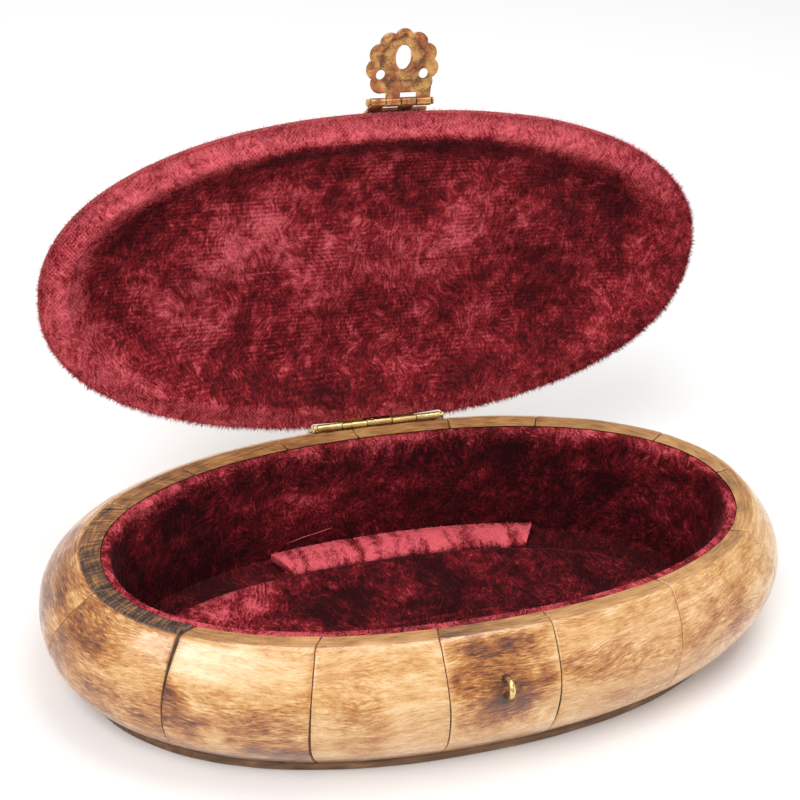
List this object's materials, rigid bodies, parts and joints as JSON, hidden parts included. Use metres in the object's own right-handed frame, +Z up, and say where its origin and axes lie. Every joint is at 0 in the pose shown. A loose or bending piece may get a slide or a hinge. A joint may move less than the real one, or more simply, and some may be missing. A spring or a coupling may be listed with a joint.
{
  "type": "oval trinket box",
  "caption": "Oval bulging bone box with a hinged domed lid, crimson velvet lining, and a scalloped brass hasp that drops over a staple.",
  "frame": {"origin": "centre of the box's underside, where it stands", "axes": "+X along the box's length, -Y its front, where the hasp closes, +Z up"},
  "size_m": [0.1648, 0.1033, 0.1204],
  "materials": {
    "toasted_bone": "polished, toasted golden brown in patches",
    "brown_wood": "stained",
    "crimson_velvet": "short-pile velvet over card",
    "aged_brass": "pressed, darkened"
  },
  "bodies": {
    "base": {"bottom_plate": "brown_wood", "base_tile_01": "toasted_bone", "base_tile_02": "toasted_bone", "base_tile_03": "toasted_bone", "base_tile_04": "toasted_bone", "base_tile_05": "toasted_bone", "base_tile_06": "toasted_bone", "base_tile_07": "toasted_bone", "base_tile_08": "toasted_bone", "base_tile_09": "toasted_bone", "base_tile_10": "toasted_bone", "base_tile_11": "toasted_bone", "base_tile_12": "toasted_bone", "base_tile_13": "toasted_bone", "base_tile_14": "toasted_bone", "base_tile_15": "toasted_bone", "base_lining_wall": "crimson_velvet", "base_lining_floor": "crimson_velvet", "base_lining_strip": "crimson_velvet", "staple": "aged_brass", "hinge_base_leaf": "aged_brass", "hinge_pin": "aged_brass"},
    "lid": {"lid_tile_01": "toasted_bone", "lid_tile_02": "toasted_bone", "lid_tile_03": "toasted_bone", "lid_tile_04": "toasted_bone", "lid_tile_05": "toasted_bone", "lid_tile_06": "toasted_bone", "lid_tile_07": "toasted_bone", "lid_tile_08": "toasted_bone", "lid_tile_09": "toasted_bone", "lid_tile_10": "toasted_bone", "lid_tile_11": "toasted_bone", "lid_tile_12": "toasted_bone", "lid_tile_13": "toasted_bone", "lid_tile_14": "toasted_bone", "lid_top_1": "toasted_bone", "lid_top_2": "toasted_bone", "lid_top_3": "toasted_bone", "lid_top_4": "toasted_bone", "lid_lining": "crimson_velvet", "hinge_lid_leaf": "aged_brass", "hasp_plate": "aged_brass", "hasp_pin": "aged_brass"},
    "hasp": {"hasp": "aged_brass"}
  },
  "joints": [
    {"name": "lid_hinge", "type": "hinge", "parent": "base", "child": "lid", "pos_m": [0, 0.0363, 0.0297], "axis": [1, 0, 0], "range_deg": [0, 95.4]},
    {"name": "hasp_hinge", "type": "hinge", "parent": "lid", "child": "hasp", "pos_m": [-0.0004, 0.04423, 0.10504], "axis": [1, 0, 0], "range_deg": [-70, 60]}
  ]
}
